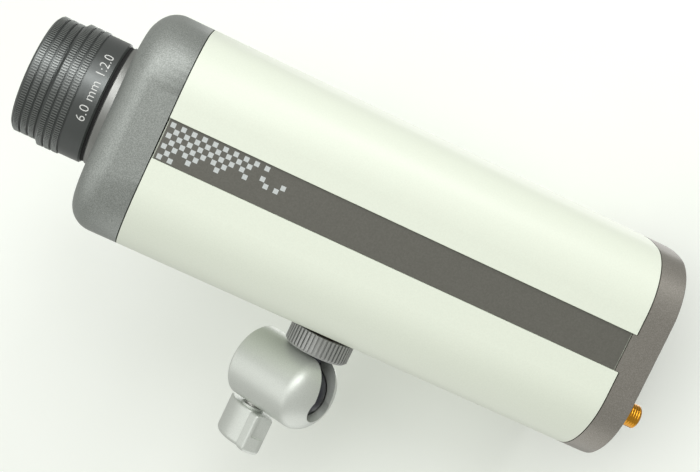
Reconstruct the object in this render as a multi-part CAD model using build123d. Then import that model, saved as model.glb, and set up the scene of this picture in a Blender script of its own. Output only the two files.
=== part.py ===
from build123d import *
import os
from math import asin, atan2, cos, degrees, pi, radians, sin, sqrt

# Box camera on a ball swivel head. The long axis runs along X with the lens towards -X, +Z is up,
# and the origin is the mouth of the threaded socket in the closed end of the swivel housing.

# Body envelope, shared by the covers and both bezels
body_width = 62.0
body_height = 62.5
corner_radius = 18.0
crown_radius = 75.0
axis_rise = 0.95
cover_length = 131.0
cover_wall = 2.0
joint_gap = 0.3

# Covers
lap_height = 1.5
lap_thickness = 0.8
lap_clearance = 0.15
strip_width = 10.8
strip_thickness = 0.5
strip_groove_depth = 0.9
strip_side_clearance = 0.1
strip_tongue_length = 1.0
cover_screw_front = 8.2
cover_screw_rear_gap = 15.9
cover_screw_spread = 7.5
cover_boss_radius = 3.4
cover_boss_parting = -6.0

# Front bezel
front_length = 14.5
front_edge_radius = 6.5
front_wall = 3.0
bezel_wall = 2.4
bezel_lip_length = 2.0
bezel_lip_thickness = 1.1
bezel_post_radius = 3.2
bezel_post_side_inset = 11.0
bezel_post_inset = 13.75
bezel_lug_thickness = 3.0

# Rear bezel and panel
rear_length = 7.9
rear_edge_chamfer = 0.4
panel_thickness = 2.0
panel_recess = 2.4
panel_clearance = 0.2
panel_ledge = 2.6

# Small screws
screw_radius = 1.45
screw_pilot_radius = 1.5
screw_hole_radius = 1.7
screw_head_radius = 2.7
screw_head_height = 1.7
screw_drive_radius = 1.0
screw_drive_depth = 1.0
screw_slack = 0.05
cover_seat_depth = 8.0
cover_screw_grip = 8.0
bezel_screw_grip = 8.0
panel_screw_grip = 5.0
sensor_screw_grip = 4.5
board_screw_grip = 5.0

# Lens, all turned about the lens axis
barrel_radius = 17.3
barrel_length = 12.9
barrel_bevel = 0.7
barrel_rear_chamfer = 0.45
focus_radius = 16.3
focus_length = 7.0
focus_front_chamfer = 0.8
focus_bore_radius = 13.5
focus_running_gap = 0.1
knurl_band = 1.75
knurl_groove = 0.35
knurl_groove_depth = 0.35
spigot_length = 5.4
gasket_width = 0.85
gasket_inset = 0.7
gasket_bore_radius = 13.5
mount_ring_radius = 16.9
mount_ring_visible = 2.95
mount_neck_radius = 15.4
mount_fit_gap = 0.1
ring_nut_radius = 18.6
ring_nut_thickness = 3.0
lens_thread_radius = 12.6
lens_thread_length = 4.2
lens_thread_gap = 0.08
flange_focal = 12.5
cell_radius = 12.1
cell_length = 9.5
cell_front_inset = 1.4
cell_bore_radius = 9.2
cell_running_gap = 0.1
front_lens_radius = 10.6
front_lens_edge = 2.0
front_lens_curve = 26.0
retainer_width = 1.5
retainer_thickness = 1.1
rear_lens_radius = 7.4
rear_lens_edge = 1.6
rear_lens_curve = 16.0
lens_seat_gap = 0.05
lens_edge_flat = 1.6

# Electronics
board_thickness = 1.6
sensor_board_inset = 5.0
sensor_board_gap = 1.3
sensor_post_side_inset = 3.4
sensor_post_inset = 4.5
sensor_post_radius = 2.6
sensor_size = 13.0
sensor_thickness = 1.5
main_board_front = 12.0
main_board_rear_gap = 2.9
main_board_side_gap = 14.0
main_board_rise = 13.2
main_boss_radius = 3.0
main_pilot_depth = 8.0
main_boss_front_inset = 6.0
main_boss_rear_inset = 7.0
main_board_hole_gap = 0.8
main_boss_side_inset = 3.0
io_board_inset = 5.0
io_connector_depth = 15.0
processor_size = 19.0
processor_height = 1.6
processor_centre = 78.0
heat_sink_size = 24.0
heat_sink_height = 9.0
heat_sink_base = 2.0
heat_sink_fins = 7
heat_sink_fin = 1.2
radio_length = 22.0
radio_width = 16.0
radio_height = 3.0
radio_centre = 32.0
radio_edge_gap = 2.0
radio_socket_radius = 1.5
radio_socket_height = 1.8
board_link_length = 8.0
board_link_side_gap = 6.5
board_link_height = 7.0
standoff_radius = 2.5
standoff_upper = (0.629, 0.574)
standoff_lower = (0.387, -0.699)

# Rear connectors: centres as shares of the body's half width and half height
lan_share = (-0.097, -0.328)
lan_width = 16.0
lan_height = 13.5
lan_port_width = 11.8
lan_port_height = 8.2
lan_port_depth = 12.0
power_share = (0.435, -0.366)
power_size = 9.0
power_height = 11.0
power_bore_radius = 3.1
power_pin_radius = 1.0
power_bore_depth = 9.5
audio_shares = ((0.145, 0.254), (0.435, 0.254))
audio_body = 7.0
audio_collar_radius = 3.0
audio_bore_radius = 1.8
audio_bore_depth = 12.0
terminal_share = (-0.29, 0.254)
terminal_width = 15.0
terminal_height = 9.0
terminal_ways = 4
terminal_hole = 2.2
terminal_proud = 1.6
reset_share = (-0.629, 0.0)
reset_radius = 1.3
reset_proud = 0.7
reset_travel = 0.6
reset_switch_size = 4.5
light_shares = ((-0.629, 0.286), (-0.629, 0.414))
light_radius = 1.2
light_proud = 0.3
cutout_clearance = 0.25
connector_face_inset = 0.3

# Antenna jack
antenna_share = (-0.613, -0.466)
antenna_radius = 3.175
antenna_neck_radius = 2.9
antenna_neck_proud = 0.5
antenna_reach = 7.2
antenna_nut_flats = 8.0
antenna_nut_thickness = 2.2
antenna_washer_radius = 4.6
antenna_washer_thickness = 0.5
antenna_flange = 7.6
antenna_flange_thickness = 2.0
antenna_bore_radius = 2.3
antenna_pin_radius = 0.5

# Tripod bush, stud and lock ring
stem_x = 61.5
bush_radius = 6.0
bush_flange_radius = 7.5
bush_flange_thickness = 1.2
bush_height = 9.0
bush_boss_radius = 10.0
bush_pad_drop = 0.2
stud_radius = 3.175
stud_clearance = 0.08
stud_entry = 7.5
stud_tip_chamfer = 0.8
lock_ring_radius = 9.4
lock_ring_gap = 0.3
lock_ring_chamfer = 0.8
lock_ring_rest_gap = 0.4
lock_ring_core = 8.85
lock_ring_ridges = 48
lock_ring_ridge_share = 0.55

# Swivel housing, with its own axis along the bore and the ball centre as its reference
head_turn = 40.0
ball_drop = 49.6
ball_radius = 8.0
ball_gap = 0.25
neck_radius = 2.9
neck_flat = 4.2
housing_radius = 10.9
housing_edge_radius = 0.7
socket_depth = 17.4
dome_start = 3.0
dome_reach = 6.8
slot_half_width = 3.7
slot_dip = 14.0
slot_end_radius = 4.2
plug_thickness = 3.0
plug_gap = 0.05
post_thread_radius = 2.6
pad_front = 4.2
pad_clearance = 0.15
pad_notch_gap = 0.12

# Clamp knob
knob_station = -11.1
screw_m5_radius = 2.45
screw_m5_gap = 0.08
knob_standoff = 1.0
knob_height = 11.3
knob_turn = -16.3
knob_tip = (-8.8, -1.7)
knob_belly = (-1.9, -4.3)
knob_valley = (3.9, -2.7)
knob_shoulder = (4.5, -3.6)
knob_end_corner = (7.4, -3.2)
knob_end_far = (9.1, 0.5)
knob_tip_radius = 1.3
knob_shoulder_radius = 0.35
knob_corner_radius = 0.9
knob_bottom_radius = 1.5
knob_top_radius = 0.6
knob_collar_radius = 3.4
knob_pocket_depth = 0.8
knob_pocket_height = 6.4
knob_pocket_rim = 0.9
knob_bore_depth = 7.0
knob_bore_gap = 0.02
clamp_tip_radius = 1.2
clamp_tip_height = -4.6

# Places that follow from the sizes above
body_half = body_width / 2
body_bottom = -axis_rise - body_height / 2
body_top = -axis_rise + body_height / 2
front_face_x = -front_length
mount_face_x = front_face_x - mount_ring_visible
barrel_rear_x = mount_face_x - gasket_width
barrel_front_x = barrel_rear_x - barrel_length
focus_front_x = barrel_front_x - focus_length
sensor_face_x = mount_face_x + flange_focal
sensor_board_x = sensor_face_x + sensor_thickness
rear_face_x = cover_length + rear_length
panel_rear_x = rear_face_x - panel_recess
panel_front_x = panel_rear_x - panel_thickness
io_board_rear_x = panel_front_x - io_connector_depth
io_board_front_x = io_board_rear_x - board_thickness
cover_screw_rear = io_board_front_x - cover_screw_rear_gap
lug_x = bezel_lip_length + joint_gap
bezel_post_spread = body_half - bezel_post_side_inset
bezel_post_height = body_height / 2 - bezel_post_inset
sensor_board_half = body_half - sensor_board_inset
sensor_board_height = 2 * (bezel_post_height - bezel_post_radius - sensor_board_gap)
sensor_post_spread = sensor_board_half - sensor_post_side_inset
sensor_post_height = sensor_board_height / 2 - sensor_post_inset
main_board_top = body_bottom + main_board_rise
main_board_half = body_half - main_board_side_gap
main_board_end = io_board_front_x - main_board_rear_gap
antenna_nut_start = panel_rear_x + antenna_washer_thickness
antenna_thread_start = antenna_nut_start + antenna_nut_thickness + antenna_neck_proud
groove_floor = body_half - strip_groove_depth
lock_ring_top = body_bottom - lock_ring_gap
lock_ring_bottom = -(ball_drop - housing_radius - lock_ring_rest_gap)
bush_bottom = body_bottom + bush_pad_drop
ball_centre = (socket_depth * cos(radians(head_turn)), -socket_depth * sin(radians(head_turn)), 0.0)
camera_place = Location((ball_centre[0] - stem_x, ball_centre[1], ball_drop))
housing_place = Location(ball_centre, (0, 0, -head_turn))
knob_place = housing_place * Location((knob_station, 0, 0))

parts = {}


def panel_place(shares):
    """A spot on the rear panel from its shares of the half width and half height."""
    return shares[0] * body_half, shares[1] * body_height / 2 - axis_rise


lan_place = panel_place(lan_share)
power_place = panel_place(power_share)
terminal_place = panel_place(terminal_share)
reset_place = panel_place(reset_share)
antenna_place = panel_place(antenna_share)
audio_places = [panel_place(shares) for shares in audio_shares]
light_places = [panel_place(shares) for shares in light_shares]


def keep(name, shape, place=camera_place):
    parts[name] = place * shape


def envelope_sketch(inset=0.0):
    """Cross-section of the body: crowned top and bottom, flat sides, large corners."""
    half = body_half - inset
    top = body_height / 2 - inset
    crown = crown_radius - inset
    edge = top - (crown - sqrt(crown**2 - half**2))
    outline = [
        ThreePointArc((-half, edge), (0, top), (half, edge)),
        Line((half, edge), (half, -edge)),
        ThreePointArc((half, -edge), (0, -top), (-half, -edge)),
        Line((-half, -edge), (-half, edge)),
    ]
    face = make_face(Curve() + outline)
    rounded = fillet(face.vertices(), corner_radius - inset)
    return Pos(0, -axis_rise) * rounded


def envelope(start, end, inset=0.0):
    return extrude(Plane.YZ.offset(start) * envelope_sketch(inset), end - start)


def rod(start, end, radius, across=0.0, height=0.0):
    """A cylinder along X between two stations."""
    return extrude(Plane.YZ.offset(start) * Pos(across, height) * Circle(radius), end - start)


def block(x_range, y_range, z_range):
    corner = [min(pair) for pair in (x_range, y_range, z_range)]
    size = [abs(pair[1] - pair[0]) for pair in (x_range, y_range, z_range)]
    return Pos(*corner) * Box(*size, align=(Align.MIN, Align.MIN, Align.MIN))


def post(x, y, bottom, top, radius):
    """A cylinder along Z between two heights."""
    height = top - bottom
    return Pos(x, y, bottom) * Cylinder(radius, height, align=(Align.CENTER, Align.CENTER, Align.MIN))


def turned(points):
    """Revolve a closed outline of (station, radius) points about the lens axis."""
    outline = Polyline(*points, close=True)
    return revolve(Plane.XZ * make_face(outline), Axis.X)


def screw(length):
    """Pan-head screw along +Z, head seated at Z = 0 and shank below it."""
    shank = post(0, 0, -length, 0, screw_radius - screw_slack)
    cap = post(0, 0, 0, screw_head_height, screw_head_radius)
    cap = fillet(cap.edges().sort_by(Axis.Z)[-1], screw_head_height * 0.45)
    bar = screw_drive_radius * 2
    cross = Box(bar, bar * 0.3, screw_drive_depth) + Box(bar * 0.3, bar, screw_drive_depth)
    return shank + cap - Pos(0, 0, screw_head_height - screw_drive_depth / 2) * cross


def bezel_post_places():
    """Where the front bezel's posts meet the cover lugs."""
    return [
        (side * bezel_post_spread, -axis_rise + level * bezel_post_height)
        for side in (-1, 1)
        for level in (-1, 1)
    ]


def sensor_post_places():
    return [(s * sensor_post_spread, t * sensor_post_height) for s in (-1, 1) for t in (-1, 1)]


def cover_screw_places():
    return [
        (x, side * cover_screw_spread)
        for x in (cover_screw_front, cover_screw_rear)
        for side in (-1, 1)
    ]


def main_boss_places():
    front = main_board_front + main_boss_front_inset
    rear = main_board_end - main_boss_rear_inset
    reach = main_board_half - main_boss_side_inset
    return [(x, side * reach) for x in (front, rear) for side in (-1, 1)]


def standoff_places():
    places = [panel_place(shares) for shares in (standoff_upper, standoff_lower)]
    return [(side * across, height) for side in (-1, 1) for across, height in places]


def cover_shell():
    """The full tube with the two side grooves, before it is parted into halves."""
    shell = envelope(0, cover_length) - envelope(-1, cover_length + 1, cover_wall)
    for side in (-1, 1):
        rail = block(
            (0, cover_length),
            (side * (body_half - cover_wall - 0.2), side * (body_half - strip_groove_depth)),
            (-strip_width / 2 - 1.2, strip_width / 2 + 1.2),
        )
        groove = block(
            (-1, cover_length + 1),
            (side * groove_floor, side * (body_half + 1)),
            (-strip_width / 2, strip_width / 2),
        )
        shell = shell + rail - groove
    return shell


def bezel_lug(across, height):
    """Lug inside a cover that takes a screw from the front bezel's post."""
    tab = rod(lug_x, lug_x + bezel_lug_thickness, bezel_post_radius + 0.8, across, height)
    level = 1 if height > -axis_rise else -1
    reach = block(
        (lug_x, lug_x + bezel_lug_thickness),
        (across - bezel_post_radius, across + bezel_post_radius),
        (height, level * body_height),
    )
    side = 1 if across > 0 else -1
    brace = block(
        (lug_x, lug_x + bezel_lug_thickness),
        (across, side * body_width),
        (height - bezel_post_radius, height + bezel_post_radius),
    )
    lug = (tab + reach + brace) & envelope(0, cover_length, cover_wall / 2)
    return lug - rod(lug_x - 1, lug_x + bezel_lug_thickness + 1, screw_hole_radius, across, height)


def upper_cover():
    half_space = block((-1, cover_length + 1), (-body_width, body_width), (0, body_height))
    cover = cover_shell() & half_space
    for x, y in cover_screw_places():
        boss = post(x, y, cover_boss_parting + lap_clearance, body_top, cover_boss_radius)
        cover += boss & envelope(0, cover_length, cover_wall / 2)
    for x, y in cover_screw_places():
        top = cover_boss_parting + cover_screw_grip + cover_boss_radius
        cover -= post(x, y, cover_boss_parting - 1, top, screw_pilot_radius)
    for across, height in bezel_post_places():
        if height > -axis_rise:
            cover += bezel_lug(across, height)
    rib_room = envelope(0, cover_length, cover_wall / 2) - envelope(-1, cover_length + 1, cover_wall + 2)
    for x in (cover_length * 0.33, cover_length * 0.66):
        rib = block((x - 0.8, x + 0.8), (-body_width, body_width), (strip_width, body_height))
        cover += rib & rib_room
    return cover


def lower_cover():
    half_space = block((-1, cover_length + 1), (-body_width, body_width), (-body_height, 0))
    cover = cover_shell() & half_space
    lap = envelope(bezel_lip_length + 1, cover_length - 3, cover_wall + lap_clearance + 0.6)
    lap -= envelope(0, cover_length, cover_wall + lap_clearance + 0.6 + lap_thickness)
    root = envelope(bezel_lip_length + 1, cover_length - 3, cover_wall / 2)
    root -= envelope(0, cover_length, cover_wall + lap_clearance + 0.6 + lap_thickness)
    tall = block((0, cover_length), (-body_width, body_width), (-strip_width / 2, lap_height))
    low = block((0, cover_length), (-body_width, body_width), (-strip_width / 2, -lap_height))
    cover += (lap & tall) + (root & low)
    inner = envelope(0, cover_length, cover_wall / 2)
    for x, y in cover_screw_places():
        cover += post(x, y, body_bottom, cover_boss_parting, cover_boss_radius) & inner
    seat = cover_boss_radius - 0.4
    for x, y in cover_screw_places():
        cover -= post(x, y, body_bottom - 1, cover_boss_parting + 1, screw_hole_radius)
        cover -= post(x, y, body_bottom - 1, cover_boss_parting - cover_seat_depth, seat)
    for across, height in bezel_post_places():
        if height < -axis_rise:
            cover += bezel_lug(across, height)
    for x, y in main_boss_places():
        cover += post(x, y, body_bottom, main_board_top - board_thickness, main_boss_radius) & inner
        cover -= post(x, y, main_board_top - main_pilot_depth, main_board_top, screw_pilot_radius)
    boss = post(stem_x, 0, body_bottom + 0.2, bush_bottom + bush_height, bush_boss_radius)
    cover += boss & inner
    cover -= post(stem_x, 0, body_bottom - 1, bush_bottom + bush_height + 1, bush_radius + screw_slack)
    cover -= post(
        stem_x, 0, body_bottom - 1, bush_bottom + bush_flange_thickness, bush_flange_radius + screw_slack
    )
    return cover


def side_strip(side):
    start = joint_gap
    end = cover_length - strip_tongue_length - joint_gap
    half = strip_width / 2 - strip_side_clearance
    return block(
        (start, end),
        (side * groove_floor, side * (groove_floor + strip_thickness)),
        (-half, half),
    )


def front_bezel():
    rear = -joint_gap
    outer = envelope(front_face_x, rear)
    outer = fillet(outer.faces().sort_by(Axis.X)[0].edges(), front_edge_radius)
    hollow = envelope(front_face_x + front_wall, 1, bezel_wall)
    inner_radius = front_edge_radius - bezel_wall
    hollow = fillet(hollow.faces().sort_by(Axis.X)[0].edges(), inner_radius)
    bezel = outer - hollow
    lip = envelope(rear - 3, bezel_lip_length, cover_wall + lap_clearance)
    lip -= envelope(rear - 4, bezel_lip_length + 1, cover_wall + lap_clearance + bezel_lip_thickness)
    web = envelope(rear - 3, rear, bezel_wall / 2)
    web -= envelope(rear - 4, rear + 1, cover_wall + lap_clearance + bezel_lip_thickness)
    for side in (-1, 1):
        lip -= block(
            (-joint_gap, bezel_lip_length + 1),
            (side * (body_half - cover_wall - 1.5), side * body_half),
            (-strip_width / 2 - 1.5, strip_width / 2 + 1.5),
        )
    bezel += web + lip
    for across, height in bezel_post_places():
        bezel += rod(front_face_x + 1, lug_x, bezel_post_radius, across, height)
        bezel -= rod(front_face_x + front_wall, lug_x + 1, screw_pilot_radius, across, height)
    for across, height in sensor_post_places():
        bezel += rod(front_face_x + 1, sensor_board_x, sensor_post_radius, across, height)
        pilot_start = sensor_board_x - sensor_screw_grip - screw_pilot_radius
        bezel -= rod(pilot_start, sensor_board_x + 1, screw_pilot_radius, across, height)
    return bezel - rod(front_face_x - 1, front_face_x + front_wall + 1, mount_neck_radius + mount_fit_gap)


def rear_bezel():
    start = cover_length + joint_gap
    outer = envelope(start, rear_face_x)
    outer = chamfer(outer.faces().sort_by(Axis.X)[-1].edges(), rear_edge_chamfer)
    bezel = outer - envelope(start - 1, panel_front_x, bezel_wall + panel_ledge)
    bezel -= envelope(panel_front_x, rear_face_x + 1, bezel_wall)
    for side in (-1, 1):
        bezel += block(
            (cover_length - strip_tongue_length, start + 1),
            (side * (groove_floor + strip_side_clearance), side * body_half),
            (-strip_width / 2 + strip_side_clearance, strip_width / 2 - strip_side_clearance),
        )
    inset = cover_wall + lap_clearance
    lip = envelope(cover_length - bezel_lip_length, start + 1, inset)
    lip -= envelope(0, rear_face_x, inset + bezel_lip_thickness)
    for side in (-1, 1):
        lip -= block(
            (cover_length - bezel_lip_length - 1, start),
            (side * (body_half - cover_wall - 1.5), side * body_half),
            (-strip_width / 2 - 1.5, strip_width / 2 + 1.5),
        )
    return bezel + lip


def panel_cutouts(slack):
    """Everything that passes through the rear panel, grown by a clearance."""
    start, end = panel_front_x - 1, panel_rear_x + 1
    y, z = lan_place
    cuts = block(
        (start, end),
        (y - lan_width / 2 - slack, y + lan_width / 2 + slack),
        (z - lan_height / 2 - slack, z + lan_height / 2 + slack),
    )
    y, z = power_place
    cuts += rod(start, end, power_bore_radius + 1.1 + slack, y, z)
    y, z = terminal_place
    cuts += block(
        (start, end),
        (y - terminal_width / 2 - slack, y + terminal_width / 2 + slack),
        (z - terminal_height / 2 - slack, z + terminal_height / 2 + slack),
    )
    for y, z in audio_places:
        cuts += rod(start, end, audio_collar_radius + slack, y, z)
    for y, z in light_places:
        cuts += rod(start, end, light_radius + screw_slack, y, z)
    cuts += rod(start, end, reset_radius + slack, *reset_place)
    cuts += rod(start, end, antenna_neck_radius + screw_slack, *antenna_place)
    for y, z in standoff_places():
        cuts += rod(start, end, screw_hole_radius, y, z)
    return cuts


def rear_panel():
    plate = envelope(panel_front_x, panel_rear_x, bezel_wall + panel_clearance)
    return plate - panel_cutouts(cutout_clearance)


def lens_mount_ring():
    """Silver ring: collar in front of the bezel, neck through its wall."""
    neck_end = front_face_x + front_wall + ring_nut_thickness
    bore = lens_thread_radius + lens_thread_gap
    return turned([
        (mount_face_x, bore),
        (mount_face_x, mount_ring_radius - 0.3),
        (mount_face_x + 0.3, mount_ring_radius),
        (front_face_x - 0.05, mount_ring_radius),
        (front_face_x - 0.05, mount_neck_radius),
        (neck_end, mount_neck_radius),
        (neck_end, bore),
    ])


def mount_ring_nut():
    start = front_face_x + front_wall + 0.05
    end = start + ring_nut_thickness
    nut = turned([
        (start, mount_neck_radius + mount_fit_gap),
        (start, ring_nut_radius),
        (end, ring_nut_radius),
        (end, mount_neck_radius + mount_fit_gap),
    ])
    for spot in range(4):
        notch = block((start, end), (-1.5, 1.5), (ring_nut_radius - 1.2, ring_nut_radius + 1))
        nut -= Rot(45 + 90 * spot, 0, 0) * notch
    return nut


def band_grooves(first, radius, count, depth=knurl_groove_depth):
    """Narrow turned grooves that part one knurl band from the next."""
    cuts = Part()
    for index in range(count):
        start = first + index * (knurl_band + knurl_groove)
        cuts += turned([
            (start, radius - depth),
            (start, radius + 1),
            (start + knurl_groove, radius + 1),
            (start + knurl_groove, radius - depth),
        ])
    return cuts


def lens_barrel():
    spigot = focus_bore_radius - focus_running_gap
    thread_end = mount_face_x + lens_thread_length
    rear_seat = rear_lens_radius + lens_seat_gap
    body = turned([
        (barrel_front_x - spigot_length, cell_radius),
        (barrel_front_x - spigot_length, spigot),
        (barrel_front_x, spigot),
        (barrel_front_x, barrel_radius - barrel_bevel),
        (barrel_front_x + barrel_bevel, barrel_radius),
        (barrel_rear_x - barrel_rear_chamfer, barrel_radius),
        (barrel_rear_x, barrel_radius - barrel_rear_chamfer),
        (barrel_rear_x, gasket_bore_radius - 0.05),
        (mount_face_x, gasket_bore_radius - 0.05),
        (mount_face_x, lens_thread_radius),
        (thread_end, lens_thread_radius),
        (thread_end, rear_seat),
        (thread_end - rear_lens_edge - 0.6, rear_seat),
        (thread_end - rear_lens_edge - 0.6, rear_lens_radius - 1.0),
        (barrel_rear_x - 2, rear_lens_radius - 1.0),
        (barrel_rear_x - 4, cell_radius),
    ])
    first = barrel_front_x + barrel_bevel + knurl_band
    return body - band_grooves(first, barrel_radius, 3)


def focus_ring():
    """Turning front ring with three knurl bands and a conical hood."""
    front = focus_front_x
    rear = barrel_front_x - focus_running_gap
    hood = cell_radius + 2.6
    ring = turned([
        (front, hood),
        (front, focus_radius - focus_front_chamfer),
        (front + focus_front_chamfer * 0.75, focus_radius),
        (rear, focus_radius),
        (rear, focus_bore_radius),
        (front + 1.5, focus_bore_radius),
        (front + 1.3, cell_radius + 0.9),
    ])
    first = front + focus_front_chamfer + knurl_band
    return ring - band_grooves(first, focus_radius, 3)


def barrel_gasket():
    inner, outer = gasket_bore_radius, barrel_radius - gasket_inset
    return turned([
        (barrel_rear_x, inner),
        (barrel_rear_x, outer),
        (mount_face_x, outer),
        (mount_face_x, inner),
    ])


def cell_front_x():
    return focus_front_x + cell_front_inset


def lens_cell():
    """Sliding inner tube that carries the front lens."""
    front = cell_front_x()
    outer = cell_radius - cell_running_gap
    seat = front + retainer_thickness + 0.3
    return turned([
        (front, front_lens_radius + lens_seat_gap),
        (front, outer),
        (front + cell_length, outer),
        (front + cell_length, cell_bore_radius - 1.4),
        (front + cell_length - 1, cell_bore_radius),
        (seat + front_lens_edge, cell_bore_radius),
        (seat + front_lens_edge, front_lens_radius + lens_seat_gap),
    ])


def lens_solid(start, edge, radius, curve):
    """Biconvex glass: a ground rim with a spherical cap on each face."""
    rim = radius - lens_edge_flat
    end = start + edge
    cap = curve - sqrt(curve**2 - rim**2)
    half_angle = asin(rim / curve) / 2
    mid = (curve * (1 - cos(half_angle)), curve * sin(half_angle))
    outline = Curve() + [
        ThreePointArc((start - cap, 0), (start - cap + mid[0], mid[1]), (start, rim)),
        Line((start, rim), (start, radius)),
        Line((start, radius), (end, radius)),
        Line((end, radius), (end, rim)),
        ThreePointArc((end, rim), (end + cap - mid[0], mid[1]), (end + cap, 0)),
        Line((end + cap, 0), (start - cap, 0)),
    ]
    return revolve(Plane.XZ * make_face(outline), Axis.X)


def front_lens():
    start = cell_front_x() + retainer_thickness + 0.3
    return lens_solid(start, front_lens_edge, front_lens_radius, front_lens_curve)


def rear_lens():
    start = mount_face_x + lens_thread_length - rear_lens_edge - 0.6
    return lens_solid(start, rear_lens_edge, rear_lens_radius, rear_lens_curve)


def retaining_ring():
    start = cell_front_x() + 0.3
    end = start + retainer_thickness
    inner = front_lens_radius - retainer_width
    return turned([
        (start, inner + 0.8),
        (start, front_lens_radius),
        (end, front_lens_radius),
        (end, inner + 0.6),
    ])


def sensor_board():
    half_height = sensor_board_height / 2
    x_range = (sensor_board_x, sensor_board_x + board_thickness)
    board = block(x_range, (-sensor_board_half, sensor_board_half), (-half_height, half_height))
    board = fillet(board.edges().filter_by(Axis.X), 2.0)
    for across, height in sensor_post_places():
        board -= rod(sensor_board_x - 1, sensor_board_x + 2 * board_thickness, screw_hole_radius, across, height)
    return board


def image_sensor():
    half = sensor_size / 2
    chip = block((sensor_face_x, sensor_board_x), (-half, half), (-half, half))
    window = block((sensor_face_x - 1, sensor_face_x + 0.4), (-half + 2, half - 2), (-half + 2.5, half - 2.5))
    return chip - window


def main_board():
    board = block(
        (main_board_front, main_board_end),
        (-main_board_half, main_board_half),
        (main_board_top - board_thickness, main_board_top),
    )
    for x, y in main_boss_places():
        board -= post(x, y, main_board_top - 3, main_board_top + 1, screw_hole_radius)
    for x, y in cover_screw_places():
        board -= post(x, y, main_board_top - 3, main_board_top + 1, cover_boss_radius + main_board_hole_gap)
    return board


def processor():
    half = processor_size / 2
    top = main_board_top + processor_height
    chip = block((processor_centre - half, processor_centre + half), (-half, half), (main_board_top, top))
    return chamfer(chip.edges().group_by(Axis.Z)[-1], 0.3)


def heat_sink():
    half = heat_sink_size / 2
    base = main_board_top + processor_height
    x_range = (processor_centre - half, processor_centre + half)
    sink = block(x_range, (-half, half), (base, base + heat_sink_base))
    step = (heat_sink_size - heat_sink_fin) / (heat_sink_fins - 1)
    for index in range(heat_sink_fins):
        y = -half + index * step
        sink += block(x_range, (y, y + heat_sink_fin), (base, base + heat_sink_height))
    return sink


def wireless_module():
    """Shielded radio can on the main board, with a small aerial socket."""
    end = radio_centre + radio_length / 2
    near = -main_board_half + radio_edge_gap
    can = block(
        (radio_centre - radio_length / 2, end),
        (near, near + radio_width),
        (main_board_top, main_board_top + radio_height),
    )
    can = fillet(can.edges().group_by(Axis.Z)[-1], radio_height / 6)
    reach = radio_socket_radius * 1.3
    middle = near + radio_width / 2
    socket_top = main_board_top + radio_socket_height
    foot = block(
        (end - reach, end + 2 * reach),
        (middle - reach, middle + reach),
        (main_board_top, main_board_top + radio_socket_height / 3),
    )
    return can + foot + post(end + reach, middle, main_board_top, socket_top, radio_socket_radius)


def board_link():
    """Right-angle header between the main board and the upright connector board."""
    half = main_board_half - board_link_side_gap
    start = io_board_front_x - board_link_length
    return block((start, io_board_front_x), (-half, half), (main_board_top, main_board_top + board_link_height))


def io_board():
    board = envelope(io_board_front_x, io_board_rear_x, io_board_inset)
    for y, z in standoff_places():
        board -= rod(io_board_front_x - 1, io_board_rear_x + 1, screw_hole_radius, y, z)
    return board


def lan_jack():
    y, z = lan_place
    face = panel_rear_x - connector_face_inset
    body = block(
        (io_board_rear_x, face),
        (y - lan_width / 2, y + lan_width / 2),
        (z - lan_height / 2, z + lan_height / 2),
    )
    port_z = z + 0.6
    port = block(
        (face - lan_port_depth, face + 1),
        (y - lan_port_width / 2, y + lan_port_width / 2),
        (port_z - lan_port_height / 2, port_z + lan_port_height / 2),
    )
    latch = block(
        (face - lan_port_depth, face + 1),
        (y - 3, y + 3),
        (port_z - lan_port_height / 2 - 2.2, port_z),
    )
    return body - port - latch


def power_jack():
    y, z = power_place
    face = panel_rear_x - connector_face_inset
    inner_end = panel_front_x - 0.4
    body = block(
        (io_board_rear_x, inner_end),
        (y - power_size / 2, y + power_size / 2),
        (z - power_height / 2, z + power_height / 2),
    )
    body += rod(inner_end, face, power_bore_radius + 1.1, y, z)
    body -= rod(face - power_bore_depth, face + 1, power_bore_radius, y, z)
    return body + rod(face - power_bore_depth - 0.5, face - 1.0, power_pin_radius, y, z)


def audio_jacks():
    face = panel_rear_x - connector_face_inset
    inner_end = panel_front_x - 0.4
    jacks = Part()
    for y, z in audio_places:
        half = audio_body / 2
        jack = block((io_board_rear_x, inner_end), (y - half, y + half), (z - half, z + half))
        jack += rod(inner_end, face, audio_collar_radius, y, z)
        jacks += jack - rod(face - audio_bore_depth, face + 1, audio_bore_radius, y, z)
    return jacks


def terminal_block():
    """Pluggable four-way block with square wire mouths and clamp screws on top."""
    y, z = terminal_place
    face = panel_rear_x + terminal_proud
    half = terminal_width / 2
    body = block((io_board_rear_x, face), (y - half, y + half), (z - terminal_height / 2, z + terminal_height / 2))
    pitch = terminal_width / terminal_ways
    for way in range(terminal_ways):
        middle = y - half + pitch * (way + 0.5)
        mouth = terminal_hole / 2
        body -= block((face - 6, face + 1), (middle - mouth, middle + mouth), (z - 3 - mouth + 1, z - 2 + mouth))
        body -= rod(face - 1.2, face + 1, 1.2, middle, z + 2.2)
    return body


def reset_switch():
    y, z = reset_place
    half = reset_switch_size / 2
    end = panel_front_x - reset_travel - 0.6
    return block((io_board_rear_x, end - 1.2), (y - half, y + half), (z - half, z + half))


def reset_button():
    y, z = reset_place
    foot = panel_front_x - reset_travel - 0.6 - 1.2 + reset_travel + 0.1
    button = rod(foot, panel_rear_x + reset_proud, reset_radius, y, z)
    button += rod(foot, foot + 0.8, reset_radius + 0.7, y, z)
    return fillet(button.edges().sort_by(Axis.X)[-1], 0.35)


def status_lights():
    lights = Part()
    for y, z in light_places:
        light = rod(io_board_rear_x, panel_rear_x + light_proud, light_radius, y, z)
        light += rod(io_board_rear_x, io_board_rear_x + 2.0, light_radius + 0.6, y, z)
        lights += light
    return lights


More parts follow.
